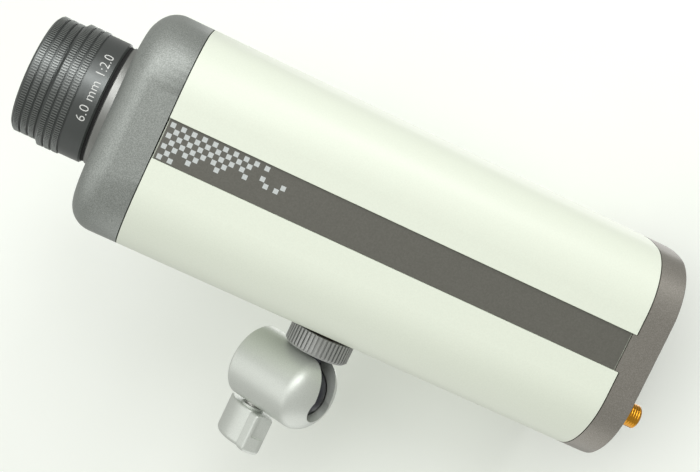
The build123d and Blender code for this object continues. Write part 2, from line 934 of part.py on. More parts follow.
def antenna_jack():
    """Threaded aerial jack with its flange behind the panel."""
    y, z = antenna_place
    tip = rear_face_x + antenna_reach
    flange_start = panel_front_x - antenna_flange_thickness
    half = antenna_flange / 2
    jack = block((flange_start, panel_front_x), (y - half, y + half), (z - half, z + half))
    jack += rod(panel_front_x, antenna_thread_start, antenna_neck_radius, y, z)
    barrel = rod(antenna_thread_start, tip, antenna_radius, y, z)
    jack += chamfer(barrel.edges().sort_by(Axis.X)[-1], 0.35)
    jack -= rod(tip - 5.5, tip + 1, antenna_bore_radius, y, z)
    jack += rod(tip - 6.0, tip - 0.8, antenna_pin_radius, y, z)
    return jack + rod(io_board_rear_x, flange_start, 1.6, y, z)


def antenna_nut():
    y, z = antenna_place
    hexagon = RegularPolygon(antenna_nut_flats / 2, 6, major_radius=False)
    nut = extrude(Plane.YZ.offset(antenna_nut_start) * Pos(y, z) * hexagon, antenna_nut_thickness)
    return nut - rod(antenna_nut_start - 1, antenna_thread_start, antenna_neck_radius + screw_slack, y, z)


def antenna_washer():
    y, z = antenna_place
    washer = rod(panel_rear_x, antenna_nut_start, antenna_washer_radius, y, z)
    return washer - rod(panel_rear_x - 1, antenna_nut_start + 1, antenna_neck_radius + screw_slack, y, z)


def standoffs():
    """Four pillars that carry the connector board on the rear panel."""
    pillars = Part()
    for y, z in standoff_places():
        pillar = rod(io_board_rear_x, panel_front_x, standoff_radius, y, z)
        depth = panel_screw_grip + standoff_radius
        pillars += pillar - rod(panel_front_x - depth, panel_front_x + 1, screw_pilot_radius, y, z)
    return pillars


def screws_along_x(places, seat, length):
    """A group of like screws along X with their heads towards the rear."""
    group = Part()
    for y, z in places:
        group += Pos(seat, y, z) * Rot(0, 90, 0) * screw(length)
    return group


def bezel_screws():
    length = bezel_lug_thickness + bezel_screw_grip
    return screws_along_x(bezel_post_places(), lug_x + bezel_lug_thickness, length)


def panel_screws():
    return screws_along_x(standoff_places(), panel_rear_x, panel_thickness + panel_screw_grip)


def sensor_screws():
    seat = sensor_board_x + board_thickness
    return screws_along_x(sensor_post_places(), seat, board_thickness + sensor_screw_grip)


def board_screws():
    group = Part()
    for x, y in main_boss_places():
        group += Pos(x, y, main_board_top) * screw(board_thickness + board_screw_grip)
    return group


def cover_screws():
    group = Part()
    for x, y in cover_screw_places():
        seat = Pos(x, y, cover_boss_parting - cover_seat_depth) * Rot(180, 0, 0)
        group += seat * screw(cover_seat_depth + cover_screw_grip)
    return group


def tripod_bush():
    flange = post(stem_x, 0, bush_bottom, bush_bottom + bush_flange_thickness, bush_flange_radius)
    body = post(stem_x, 0, bush_bottom, bush_bottom + bush_height, bush_radius)
    bore = post(stem_x, 0, bush_bottom - 1, bush_bottom + bush_height + 1, stud_radius + stud_clearance)
    return flange + body - bore


def stud_top():
    return bush_bottom + stud_entry


def ball_stud():
    """Ball, waisted neck and threaded stud in one turned piece."""
    ball = Pos(stem_x, 0, -ball_drop) * Sphere(ball_radius)
    neck = post(stem_x, 0, -ball_drop, lock_ring_bottom - 0.3, neck_radius)
    stud = post(stem_x, 0, lock_ring_bottom - 0.3, stud_top(), stud_radius)
    stud = chamfer(stud.edges().sort_by(Axis.Z)[-1], stud_tip_chamfer)
    return ball + neck + stud


def lock_ring():
    """Ridged ring that jams the camera on the stud."""
    height = lock_ring_top - lock_ring_bottom
    core = post(stem_x, 0, lock_ring_bottom, lock_ring_top, lock_ring_core)
    ridge_width = 2 * pi * lock_ring_radius / lock_ring_ridges * lock_ring_ridge_share
    ridge = Pos(lock_ring_radius / 2 + 2, 0) * Rectangle(lock_ring_radius - 4, ridge_width)
    ridges = Sketch() + [Rot(0, 0, 360 / lock_ring_ridges * index) * ridge for index in range(lock_ring_ridges)]
    ridges &= Circle(lock_ring_radius)
    ring = core + Pos(stem_x, 0, lock_ring_bottom) * extrude(ridges, height)
    cone = Pos(stem_x, 0, lock_ring_bottom) * Cone(
        lock_ring_radius - lock_ring_chamfer,
        lock_ring_radius - lock_ring_chamfer + height,
        height,
        align=(Align.CENTER, Align.CENTER, Align.MIN),
    )
    ring &= cone
    return ring - post(stem_x, 0, lock_ring_bottom - 1, lock_ring_top + 1, stud_radius + stud_clearance)


def swivel_housing():
    """Ball housing: a bored cylinder, domed and slotted at one end."""
    edge = housing_edge_radius
    bore = ball_radius + ball_gap
    dome_tip = dome_start + dome_reach
    outer = Curve() + [
        Line((-socket_depth, 0), (-socket_depth, housing_radius - edge)),
        ThreePointArc(
            (-socket_depth, housing_radius - edge),
            (-socket_depth + edge * (1 - cos(pi / 4)), housing_radius - edge * (1 - sin(pi / 4))),
            (-socket_depth + edge, housing_radius),
        ),
        Line((-socket_depth + edge, housing_radius), (dome_start, housing_radius)),
        EllipticalCenterArc((dome_start, 0), dome_reach, housing_radius, 90, arc_size=-90),
        Line((dome_tip, 0), (-socket_depth, 0)),
    ]
    body = revolve(Plane.XZ * make_face(outer), Axis.X)
    body -= rod(-socket_depth - 1, 0, bore)
    body -= Sphere(bore)
    reach = socket_depth + dome_tip
    dip = radians(slot_dip)
    sector = make_face(
        Polyline((0, 0), (0, reach), (reach, reach), (reach, -reach * sin(dip) / cos(dip)), close=True)
    )
    slot = extrude(Plane.XZ * sector, slot_half_width, both=True)
    slot += post(0, 0, 0, reach, slot_half_width)
    slot += Rot(0, 90 + slot_dip, 0) * post(0, 0, 0, reach, slot_end_radius)
    body -= slot
    return body - post(knob_station, 0, -reach, 0, screw_m5_radius + screw_m5_gap)


def end_plug():
    """Closes the bore behind the ball and carries the thread for the post."""
    radius = ball_radius + ball_gap - plug_gap
    plug = rod(-socket_depth, -socket_depth + plug_thickness, radius)
    return plug - rod(-socket_depth - 1, 0, post_thread_radius)


def ball_pad():
    """Follower between the clamp screw and the ball."""
    radius = ball_radius + ball_gap - pad_clearance
    pad = rod(-socket_depth + plug_thickness + 0.1, -pad_front, radius)
    pad -= Sphere(ball_radius + ball_gap)
    notch = coned_pin(-radius - 2, clamp_tip_height + pad_notch_gap, screw_m5_radius + pad_notch_gap)
    return pad - Pos(knob_station, 0, 0) * notch


def coned_pin(bottom, top, radius):
    pin = post(0, 0, bottom, top, radius)
    return chamfer(pin.edges().sort_by(Axis.Z)[-1], screw_m5_radius - clamp_tip_radius)


def clamp_screw():
    """Threaded shank with a cone tip, cast into the knob."""
    return coned_pin(-housing_radius - knob_standoff - 6, clamp_tip_height, screw_m5_radius)


def knob_outline():
    """Plan of the knob: two like blades, each with a bulged back and a stepped shoulder."""
    points = [knob_tip, knob_belly, knob_valley, knob_shoulder, knob_end_corner, knob_end_far]
    tip, belly, valley, shoulder, corner, far = points
    other = [(-x, -y) for x, y in points]
    edges = Curve()
    for near, mid, low, step, end, last, follow in (
        (tip, belly, valley, shoulder, corner, far, other[0]),
        (*other, tip),
    ):
        edges += ThreePointArc(near, mid, low)
        edges += Polyline(low, step, end, last, follow)
    face = make_face(edges)
    tips = [v for v in face.vertices() if abs(v.X) > abs(corner[0]) + 0.5]
    face = fillet(tips, knob_tip_radius)
    shoulders = [v for v in face.vertices() if abs(abs(v.Y) - abs(shoulder[1])) < 0.01]
    face = fillet(shoulders, knob_shoulder_radius)
    corners = [v for v in face.vertices() if abs(abs(v.X) - abs(corner[0])) < 0.01]
    return fillet(corners, knob_corner_radius)


def knob_pocket(top):
    """Finger pocket in one blade's end, open at the top and the outer side."""
    (x0, y0), (x1, y1) = knob_end_corner, knob_end_far
    slant = atan2(y1 - y0, x1 - x0)
    floor = x0 * sin(slant) - y0 * cos(slant) - knob_pocket_depth
    start = x0 * cos(slant) + y0 * sin(slant) + knob_pocket_rim
    box = block((floor, floor + 9), (start, start + 9), (top - knob_pocket_height, top + 1))
    return Rot(0, 0, degrees(slant) - 90) * box


def clamp_knob():
    """Cast thumb knob under the housing."""
    top = -housing_radius - knob_standoff
    body = Pos(0, 0, top - knob_height) * extrude(knob_outline(), knob_height)
    body = fillet(body.edges().group_by(Axis.Z)[0], knob_bottom_radius)
    body = fillet(body.edges().group_by(Axis.Z)[-1], knob_top_radius)
    for turn in (0, 180):
        body -= Rot(0, 0, turn) * knob_pocket(top)
    body += post(0, 0, top, top + knob_standoff * 0.6, knob_collar_radius)
    body -= post(0, 0, top - knob_bore_depth, top + knob_standoff, screw_m5_radius + knob_bore_gap)
    return Rot(0, 0, knob_turn) * body


def build_camera():
    keep("upper_cover", upper_cover())
    keep("lower_cover", lower_cover())
    keep("side_strip_left", side_strip(-1))
    keep("side_strip_right", side_strip(1))
    keep("front_bezel", front_bezel())
    keep("rear_bezel", rear_bezel())
    keep("rear_panel", rear_panel())
    keep("cover_screws", cover_screws())
    keep("bezel_screws", bezel_screws())
    keep("panel_screws", panel_screws())
    keep("tripod_bush", tripod_bush())


def build_lens():
    keep("lens_mount_ring", lens_mount_ring())
    keep("mount_ring_nut", mount_ring_nut())
    keep("barrel_gasket", barrel_gasket())
    keep("lens_barrel", lens_barrel())
    keep("focus_ring", focus_ring())
    keep("lens_cell", lens_cell())
    keep("retaining_ring", retaining_ring())
    keep("front_lens", front_lens())
    keep("rear_lens", rear_lens())


def build_electronics():
    keep("sensor_board", sensor_board())
    keep("image_sensor", image_sensor())
    keep("sensor_screws", sensor_screws())
    keep("main_board", main_board())
    keep("board_screws", board_screws())
    keep("processor", processor())
    keep("heat_sink", heat_sink())
    keep("wireless_module", wireless_module())
    keep("board_link", board_link())
    keep("io_board", io_board())
    keep("standoffs", standoffs())
    keep("lan_jack", lan_jack())
    keep("power_jack", power_jack())
    keep("audio_jacks", audio_jacks())
    keep("terminal_block", terminal_block())
    keep("reset_switch", reset_switch())
    keep("reset_button", reset_button())
    keep("status_lights", status_lights())
    keep("antenna_jack", antenna_jack())
    keep("antenna_nut", antenna_nut())
    keep("antenna_washer", antenna_washer())


def build_swivel():
    keep("ball_stud", ball_stud())
    keep("lock_ring", lock_ring())
    keep("swivel_housing", swivel_housing(), housing_place)
    keep("end_plug", end_plug(), housing_place)
    keep("ball_pad", ball_pad(), housing_place)
    keep("clamp_screw", clamp_screw(), knob_place)
    keep("clamp_knob", clamp_knob(), knob_place)


build_camera()
build_lens()
build_electronics()
build_swivel()

os.makedirs("parts", exist_ok=True)
for name, shape in parts.items():
    export_step(shape, f"parts/{name}.step")
    print(name, len(shape.solids()), round(shape.volume, 1))
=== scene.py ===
from math import cos, pi, radians, sin

import bpy
from mathutils import Matrix, Vector


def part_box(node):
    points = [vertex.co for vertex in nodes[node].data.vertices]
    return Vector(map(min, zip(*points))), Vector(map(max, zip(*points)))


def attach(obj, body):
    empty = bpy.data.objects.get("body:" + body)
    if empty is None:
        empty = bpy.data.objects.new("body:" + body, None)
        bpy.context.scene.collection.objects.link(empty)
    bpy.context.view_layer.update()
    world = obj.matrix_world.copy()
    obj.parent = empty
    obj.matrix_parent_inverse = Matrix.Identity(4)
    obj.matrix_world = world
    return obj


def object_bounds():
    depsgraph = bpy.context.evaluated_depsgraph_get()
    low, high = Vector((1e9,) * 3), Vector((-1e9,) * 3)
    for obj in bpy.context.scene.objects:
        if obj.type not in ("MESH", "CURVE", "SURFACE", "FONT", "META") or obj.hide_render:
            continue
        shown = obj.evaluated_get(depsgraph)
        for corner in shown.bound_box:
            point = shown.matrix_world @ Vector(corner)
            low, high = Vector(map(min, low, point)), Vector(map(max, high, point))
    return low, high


# A white box camera on a small silver swivel head, lying on a white table and seen from its left and a little
# above. The camera body runs along X with the lens towards -X. Lengths are in metres.

MM = 0.001

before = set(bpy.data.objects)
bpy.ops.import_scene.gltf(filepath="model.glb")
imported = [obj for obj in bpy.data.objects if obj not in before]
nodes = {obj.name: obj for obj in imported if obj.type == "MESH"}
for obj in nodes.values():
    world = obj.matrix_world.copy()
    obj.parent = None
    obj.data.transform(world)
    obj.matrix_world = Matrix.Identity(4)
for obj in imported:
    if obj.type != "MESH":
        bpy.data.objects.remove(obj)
cad_low, cad_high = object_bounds()

# Places read from the frame
barrel_low, barrel_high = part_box("lens_barrel")
focus_low, focus_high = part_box("focus_ring")
gasket_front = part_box("barrel_gasket")[0][0]
rear_low, rear_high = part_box("rear_bezel")
jack_low, jack_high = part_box("antenna_jack")
nut_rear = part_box("antenna_nut")[1][0]
socket_low, socket_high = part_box("lan_jack")
axis_y = (barrel_low[1] + barrel_high[1]) / 2
axis_z = (barrel_low[2] + barrel_high[2]) / 2
barrel_radius = (barrel_high[2] - barrel_low[2]) / 2
focus_radius = (focus_high[2] - focus_low[2]) / 2

# Lens: rows of straight knurls on each ring. The bars' widths are shares of the space from bar to bar.
RING_GAP = 0.1 * MM
FOCUS_CHAMFER = 0.8 * MM
BARREL_BEVEL = 0.7 * MM
KNURL_ROWS = 3
KNURL_BAND = 1.75 * MM
KNURL_GROOVE = 0.35 * MM
KNURL_COUNT = 148
KNURL_END = 0.05 * MM
KNURL_SLOPE = 0.12 * MM
KNURL_HEIGHT = 0.28 * MM
KNURL_SINK = 0.03 * MM
KNURL_BASE = 0.62
KNURL_TOP = 0.4

# Lens: figures on the smooth band, with their feet towards the body
MARK_TEXT = "6.0 mm 1:2.0"
MARK_SIZE = 3.6 * MM
MARK_SPACING = 1.05
MARK_THINNING = -0.035 * MM
MARK_STEPS = 4
MARK_LIFT = 0.03 * MM
MARK_MARGIN = 1.7 * MM
MARK_MIDDLE = radians(77)

# Printed chequer on the side strips. Its lower edge falls as a power of the length, with a wave on it, and
# past PRINT_LOOSE about one place in five holds a stray square.
PRINT_PITCH = 1.4 * MM
PRINT_SQUARE = 1.27 * MM
PRINT_MARGIN = 0.6 * MM
PRINT_LIFT = 0.015 * MM
PRINT_ROWS = 7
PRINT_COLUMNS = 27
PRINT_SOLID = 0.7
PRINT_LOOSE = 0.45
PRINT_FALL = 1.3
PRINT_WAVE = 1.2
PRINT_WAVE_TURN = 1.35
PRINT_WAVE_START = 0.6
PRINT_STRAY = 5

# Antenna thread: its profile as shares of the pitch along the jack and of the depth outwards
JACK_RADIUS = 3.175 * MM
THREAD_PITCH = 0.706 * MM
THREAD_DEPTH = 0.5 * MM
THREAD_PROFILE = ((-0.42, -0.02), (-0.1, 0.26), (0.1, 0.26), (0.42, -0.02))
THREAD_START = 0.2 * MM
THREAD_END = 0.5 * MM
THREAD_STEPS = 32

# Network contacts: their path goes back from the socket's mouth and down from its highest point
CONTACT_COUNT = 8
CONTACT_PITCH = 1.02 * MM
CONTACT_WIDTH = 0.4 * MM
CONTACT_DROP = 3.2 * MM
CONTACT_PATH = ((2.2 * MM, 0), (3.2 * MM, 0.5 * MM), (9.5 * MM, 3.4 * MM))

# Edges that are broken in the mesh: where faces meet at more than the angle
EDGE_ANGLE = radians(35)
EDGE_SEGMENTS = 2
WELD_REACH = 0.002 * MM

# Finishes: a lathe leaves rings about 0.1 mm apart, drawn coarser here so that they show. The texture's
# waves are 2 pi / 20 of its unit long.
RING_PITCH = 1.57 * MM
RING_DEPTH = 0.02 * MM
TARNISH_SIZE = 2.5 * MM
WAVES_PER_UNIT = 20 / (2 * pi)

# Camera and stage
CAMERA_PLACE = Vector((-32.637, -325.765, 68.69)) * MM
CAMERA_FORWARD = Vector((0.12865, 0.98885, -0.07499))
CAMERA_RIGHT = Vector((0.90031, -0.08476, 0.42691))
CAMERA_LENS = 59.03
SENSOR_WIDTH = 36
TABLE_REACH = 4.0
TABLE_TILT = radians(12)
CLOUD_SIZE = 60 * MM
PAPER_GLOW = 0.06

# Lamps: name, place, diameter and watts. All face the middle of the camera body.
LAMP_HEIGHT = 0.04
LAMPS = (
    ("key_above", (-0.50, -0.50, 0.72), 0.7, 1.2),
    ("top_edge", (0.12, -0.48, 0.84), 0.35, 1.9),
    ("front_soft", (-0.46, -0.82, 0.20), 0.6, 1.8),
    ("front_glint", (-0.14, -0.79, 0.56), 0.42, 1.7),
    ("fill_left", (-0.80, -0.42, -0.36), 1.0, 1.7),
    ("table_bounce", (0.42, 0.10, -0.80), 1.2, 2.4),
    ("back_soft", (0.3, 0.9, 0.3), 0.8, 2),
)
ROOM_LIGHT = 0.52


def linear(hex_colour):
    """sRGB hex to the linear colour that the shaders work in."""
    values = [int(hex_colour[i:i + 2], 16) / 255 for i in (1, 3, 5)]
    return [v / 12.92 if v <= 0.04045 else ((v + 0.055) / 1.055) ** 2.4 for v in values] + [1.0]


def add(material, kind, links=None, **settings):
    """Adds a node: settings fill its inputs or properties, links join inputs to other nodes' outputs."""
    tree = material.node_tree
    node = tree.nodes.new(kind)
    for key, value in settings.items():
        if hasattr(node, key):
            setattr(node, key, value)
    for key, value in settings.items():
        if not hasattr(node, key):
            node.inputs[key.replace("_", " ")].default_value = value
    for key, output in (links or {}).items():
        tree.links.new(output, node.inputs[key])
    return node


def new_material(name):
    material = bpy.data.materials.new(name)
    material.use_nodes = True
    material.node_tree.nodes.clear()
    return material


def finish_material(material, shader):
    add(material, "ShaderNodeOutputMaterial", {"Surface": shader.outputs[0]})
    return material


def speckled(name, base, light, dark, size, rough=0.4, metallic=0.0, bump=0.1):
    """Sprayed or moulded finish: a base colour broken up by fine lighter and darker grains of a real size.

    A pixel of the picture is about 0.25 mm on the object, so grains that are finer in life are drawn at
    0.2 to 0.4 mm.
    """
    material = new_material(name)
    where = add(material, "ShaderNodeTexCoord")
    noise = add(material, "ShaderNodeTexNoise", {"Vector": where.outputs["Object"]}, Scale=1 / size, Detail=2.0)
    ramp = add(material, "ShaderNodeValToRGB", {"Fac": noise.outputs["Fac"]})
    stops = ramp.color_ramp.elements
    stops[0].position, stops[0].color = 0.3, linear(dark)
    stops[1].position, stops[1].color = 0.7, linear(light)
    stops.new(0.5).color = linear(base)
    relief = add(material, "ShaderNodeBump", {"Height": noise.outputs["Fac"]}, Strength=bump, Distance=size / 4)
    shader = add(
        material,
        "ShaderNodeBsdfPrincipled",
        {"Base Color": ramp.outputs["Color"], "Normal": relief.outputs["Normal"]},
        Metallic=metallic,
        Roughness=rough,
    )
    return finish_material(material, shader)


def turned_metal(name, base, rough=0.3, metallic=1.0, axis=0):
    """Metal turned on a lathe: fine rings along the part's own axis, and patches that are slightly duller."""
    material = new_material(name)
    where = add(material, "ShaderNodeTexCoord").outputs["Object"]
    rings = add(
        material,
        "ShaderNodeTexWave",
        {"Vector": where},
        wave_type="BANDS",
        bands_direction="XYZ"[axis],
        Scale=1 / (RING_PITCH * WAVES_PER_UNIT),
        Distortion=0.6,
        Detail=1.0,
    )
    patches = add(material, "ShaderNodeTexNoise", {"Vector": where}, Scale=1 / TARNISH_SIZE, Detail=2.0)
    dullness = add(
        material,
        "ShaderNodeMapRange",
        {"Value": patches.outputs["Fac"]},
        To_Min=rough - 0.05,
        To_Max=rough + 0.06,
    )
    relief = add(material, "ShaderNodeBump", {"Height": rings.outputs["Fac"]}, Strength=0.15, Distance=RING_DEPTH)
    shader = add(
        material,
        "ShaderNodeBsdfPrincipled",
        {"Roughness": dullness.outputs["Result"], "Normal": relief.outputs["Normal"]},
        Base_Color=linear(base),
        Metallic=metallic,
    )
    return finish_material(material, shader)


def dress(material, *names):
    for name in names:
        mesh = nodes[name].data
        mesh.materials.clear()
        mesh.materials.append(material)


def new_piece(name, verts, faces, body, material, smooth=False):
    """A mesh piece in the row's frame that rides on a body."""
    mesh = bpy.data.meshes.new(name)
    mesh.from_pydata(verts, [], faces)
    mesh.materials.append(material)
    for polygon in mesh.polygons:
        polygon.use_smooth = smooth
    piece = bpy.data.objects.new(name, mesh)
    bpy.context.scene.collection.objects.link(piece)
    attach(piece, body)
    return piece


def tube_faces(first):
    """The four sides between one square of points and the next."""
    return [(first + i, first + (i + 1) % 4, first + 4 + (i + 1) % 4, first + 4 + i) for i in range(4)]


def on_lens(x, radius, angle):
    """A point round the lens axis; angle 0 is straight up, and a right angle is towards the viewer's side."""
    return (x, axis_y - radius * sin(angle), axis_z + radius * cos(angle))


def knurl(name, starts, radius, body, material):
    """Straight knurling: rows of small raised bars with sloping flanks, one row to a band."""
    verts, faces = [], []
    step = 2 * pi / KNURL_COUNT
    for start in starts:
        for index in range(KNURL_COUNT):
            first = len(verts)
            for inset, lift, share in ((0, -KNURL_SINK, KNURL_BASE), (KNURL_SLOPE, KNURL_HEIGHT, KNURL_TOP)):
                front, rear = start + KNURL_END + inset, start + KNURL_BAND - KNURL_END - inset
                half = share * step / 2
                for x, turn in ((front, -half), (front, half), (rear, half), (rear, -half)):
                    verts.append(on_lens(x, radius + lift, index * step + turn))
            faces += tube_faces(first)
            faces.append((first + 4, first + 5, first + 6, first + 7))
    return new_piece(name, verts, faces, body, material)


def knurl_lens(material):
    pitch = KNURL_BAND + KNURL_GROOVE
    front_row = focus_low[0] + FOCUS_CHAMFER
    rear_row = focus_high[0] + RING_GAP + BARREL_BEVEL
    for name, start, radius, body in (
        ("focus_knurl", front_row, focus_radius, "focus_ring"),
        ("barrel_knurl", rear_row, barrel_radius, "camera_body"),
    ):
        knurl(name, [start + row * pitch for row in range(KNURL_ROWS)], radius, body, material)


def mark_lens(material):
    """Focal length and aperture in plain engraved figures round the smooth band."""
    data = bpy.data.curves.new("lens_figures", "FONT")
    data.body = MARK_TEXT
    data.size = MARK_SIZE
    data.space_character = MARK_SPACING
    data.offset = MARK_THINNING
    data.resolution_u = MARK_STEPS
    flat = bpy.data.objects.new("flat_figures", data)
    bpy.context.scene.collection.objects.link(flat)
    bpy.context.view_layer.update()
    shaped = bpy.data.meshes.new_from_object(flat.evaluated_get(bpy.context.evaluated_depsgraph_get()))
    bpy.data.objects.remove(flat)
    points = [vertex.co.copy() for vertex in shaped.vertices]
    faces = [tuple(polygon.vertices) for polygon in shaped.polygons]
    length = max(point.x for point in points)
    verts = []
    for point in points:
        turn = MARK_MIDDLE + (length / 2 - point.x) / barrel_radius
        verts.append(on_lens(gasket_front - MARK_MARGIN - point.y, barrel_radius + MARK_LIFT, turn))
    new_piece("lens_figures", verts, faces, "camera_body", material)


def print_strip(name, strip, side, material):
    """Chequer of small printed squares that thins out away from the front."""
    low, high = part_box(strip)
    face_y = (low[1] if side < 0 else high[1]) + side * PRINT_LIFT
    verts, faces = [], []
    for column in range(PRINT_COLUMNS):
        share = column / PRINT_COLUMNS
        wave = PRINT_WAVE * sin(PRINT_WAVE_TURN * column + PRINT_WAVE_START)
        reach = PRINT_ROWS * (1 - share) ** PRINT_FALL + wave
        for row in range(column % 2, PRINT_ROWS, 2):
            filled = share < PRINT_SOLID and row < reach
            picked = (column * column + 3 * row) % PRINT_STRAY == 0
            stray = picked and share > PRINT_LOOSE and 0 < row < PRINT_ROWS - 2
            if not filled and not stray:
                continue
            x = low[0] + PRINT_MARGIN + column * PRINT_PITCH
            z = high[2] - PRINT_MARGIN - row * PRINT_PITCH
            first = len(verts)
            verts += [(x, face_y, z), (x + PRINT_SQUARE, face_y, z)]
            verts += [(x + PRINT_SQUARE, face_y, z - PRINT_SQUARE), (x, face_y, z - PRINT_SQUARE)]
            faces.append((first, first + 1, first + 2, first + 3)[::-side])
    new_piece(name, verts, faces, "camera_body", material)


def thread_jack(material):
    """Fine screw thread on the antenna jack, as one helical ridge."""
    middle_y, middle_z = (jack_low[1] + jack_high[1]) / 2, (jack_low[2] + jack_high[2]) / 2
    start, end = nut_rear + THREAD_START, jack_high[0] - THREAD_END
    turns = (end - start) / THREAD_PITCH
    steps = int(turns * THREAD_STEPS)
    verts, faces = [], []
    for step in range(steps + 1):
        angle = 2 * pi * turns * step / steps
        x = start + (end - start) * step / steps
        for shift, lift in THREAD_PROFILE:
            radius = JACK_RADIUS + lift * THREAD_DEPTH
            y, z = middle_y + radius * cos(angle), middle_z + radius * sin(angle)
            verts.append((x + shift * THREAD_PITCH, y, z))
        if step:
            first = 4 * (step - 1)
            faces += [(first + i, first + i + 1, first + i + 5, first + i + 4) for i in range(3)]
    new_piece("antenna_thread", verts, faces, "camera_body", material, smooth=True)


def contact_wires(material):
    """Sprung contacts in the network socket, square in section."""
    middle = (socket_low[1] + socket_high[1]) / 2
    top = socket_high[2] - CONTACT_DROP
    verts, faces = [], []
    for index in range(CONTACT_COUNT):
        y = middle + (index - (CONTACT_COUNT - 1) / 2) * CONTACT_PITCH
        left, right = y - CONTACT_WIDTH / 2, y + CONTACT_WIDTH / 2
        first = len(verts)
        for back, drop in CONTACT_PATH:
            x, z = socket_high[0] - back, top - drop
            verts += [(x, left, z), (x, right, z), (x, right, z - CONTACT_WIDTH), (x, left, z - CONTACT_WIDTH)]
        last = len(verts) - 4
        for square in range(first, last, 4):
            faces += tube_faces(square)
        faces += [(first, first + 3, first + 2, first + 1), (last, last + 1, last + 2, last + 3)]
    new_piece("network_contacts", verts, faces, "camera_body", material)


def soften(name, width):
    """Breaks the sharp edges of a CAD node, as casting or tumbling does."""
    weld = nodes[name].modifiers.new("weld", "WELD")
    weld.merge_threshold = WELD_REACH
    bevel = nodes[name].modifiers.new("soft_edges", "BEVEL")
    bevel.width = width
    bevel.segments = EDGE_SEGMENTS
    bevel.limit_method = "ANGLE"
    bevel.angle_limit = EDGE_ANGLE
    bevel.harden_normals = True
    bevel.use_clamp_overlap = True


def place_camera():
    data = bpy.data.cameras.new("photo_camera")
    data.lens = CAMERA_LENS
    data.sensor_width = SENSOR_WIDTH
    data.clip_start = 0.01
    data.clip_end = 20
    camera = bpy.data.objects.new("photo_camera", data)
    bpy.context.scene.collection.objects.link(camera)
    forward = CAMERA_FORWARD.normalized()
    up = CAMERA_RIGHT.cross(forward).normalized()
    right = forward.cross(up)
    turn = Matrix((right, up, -forward)).transposed().to_4x4()
    camera.matrix_world = Matrix.Translation(CAMERA_PLACE) @ turn
    bpy.context.scene.camera = camera


def paint_table():
    """White paper, faintly clouded. From behind it is clear, so that it hides nothing in other views.

    It gives a little light of its own, so that it looks nearly white under lamps low enough for the camera.
    """
    paper = new_material("white_paper")
    where = add(paper, "ShaderNodeTexCoord")
    cloud = add(paper, "ShaderNodeTexNoise", {"Vector": where.outputs["Object"]}, Scale=1 / CLOUD_SIZE, Detail=2.0)
    ramp = add(paper, "ShaderNodeValToRGB", {"Fac": cloud.outputs["Fac"]})
    ramp.color_ramp.elements[0].color = linear("#f3f6f0")
    ramp.color_ramp.elements[1].color = linear("#f8fbf6")
    diffuse = add(paper, "ShaderNodeBsdfDiffuse", {"Color": ramp.outputs["Color"]})
    glow = add(paper, "ShaderNodeEmission", Color=linear("#f8fbf6"), Strength=PAPER_GLOW)
    lit = add(paper, "ShaderNodeAddShader", {0: diffuse.outputs[0], 1: glow.outputs[0]})
    clear = add(paper, "ShaderNodeBsdfTransparent")
    facing = add(paper, "ShaderNodeNewGeometry")
    mix = add(
        paper,
        "ShaderNodeMixShader",
        {0: facing.outputs["Backfacing"], 1: lit.outputs[0], 2: clear.outputs[0]},
    )
    return finish_material(paper, mix)


def place_stage():
    """The white table that the camera lies on.

    It touches the body's lower rear corner and falls away towards the lens.
    """
    forward = CAMERA_FORWARD.normalized()
    touch = Vector((rear_high[0], rear_high[1], rear_low[2]))
    up = CAMERA_RIGHT.cross(forward).normalized() * TABLE_REACH
    right = (CAMERA_RIGHT.normalized() * cos(TABLE_TILT) - forward * sin(TABLE_TILT)) * TABLE_REACH
    corners = [touch + side * right + level * up for side, level in ((-1, -1), (1, -1), (1, 1), (-1, 1))]
    mesh = bpy.data.meshes.new("table")
    mesh.from_pydata(corners, [], [(0, 1, 2, 3)])
    mesh.materials.append(paint_table())
    table = bpy.data.objects.new("table", mesh)
    bpy.context.scene.collection.objects.link(table)
    table.visible_shadow = False
    table.visible_diffuse = False
    table.visible_glossy = False


def area_lamp(name, place, target, size, watts):
    data = bpy.data.lights.new(name, "AREA")
    data.shape = "DISK"
    data.size = size
    data.energy = watts
    lamp = bpy.data.objects.new(name, data)
    bpy.context.scene.collection.objects.link(lamp)
    direction = Vector(target) - Vector(place)
    lamp.location = place
    lamp.rotation_euler = direction.to_track_quat("-Z", "Y").to_euler()


def light_studio():
    """A soft room: the eye and clear glass see it white, and the object is lit by about half of that."""
    world = bpy.data.worlds.new("studio")
    bpy.context.scene.world = world
    world.use_nodes = True
    world.node_tree.nodes.clear()
    path = add(world, "ShaderNodeLightPath")
    seen = add(
        world,
        "ShaderNodeMath",
        {0: path.outputs["Is Camera Ray"], 1: path.outputs["Is Transmission Ray"]},
        operation="MAXIMUM",
    )
    soft = add(world, "ShaderNodeBackground", Color=linear("#f7f8f3"), Strength=ROOM_LIGHT)
    white = add(world, "ShaderNodeBackground", Color=linear("#f8faf6"), Strength=1.0)
    mix = add(world, "ShaderNodeMixShader", {0: seen.outputs[0], 1: soft.outputs[0], 2: white.outputs[0]})
    add(world, "ShaderNodeOutputWorld", {"Surface": mix.outputs[0]})
    middle = (cad_low[0] / 2 + cad_high[0] / 2, 0, LAMP_HEIGHT)
    for name, place, size, watts in LAMPS:
        area_lamp(name, place, middle, size, watts)


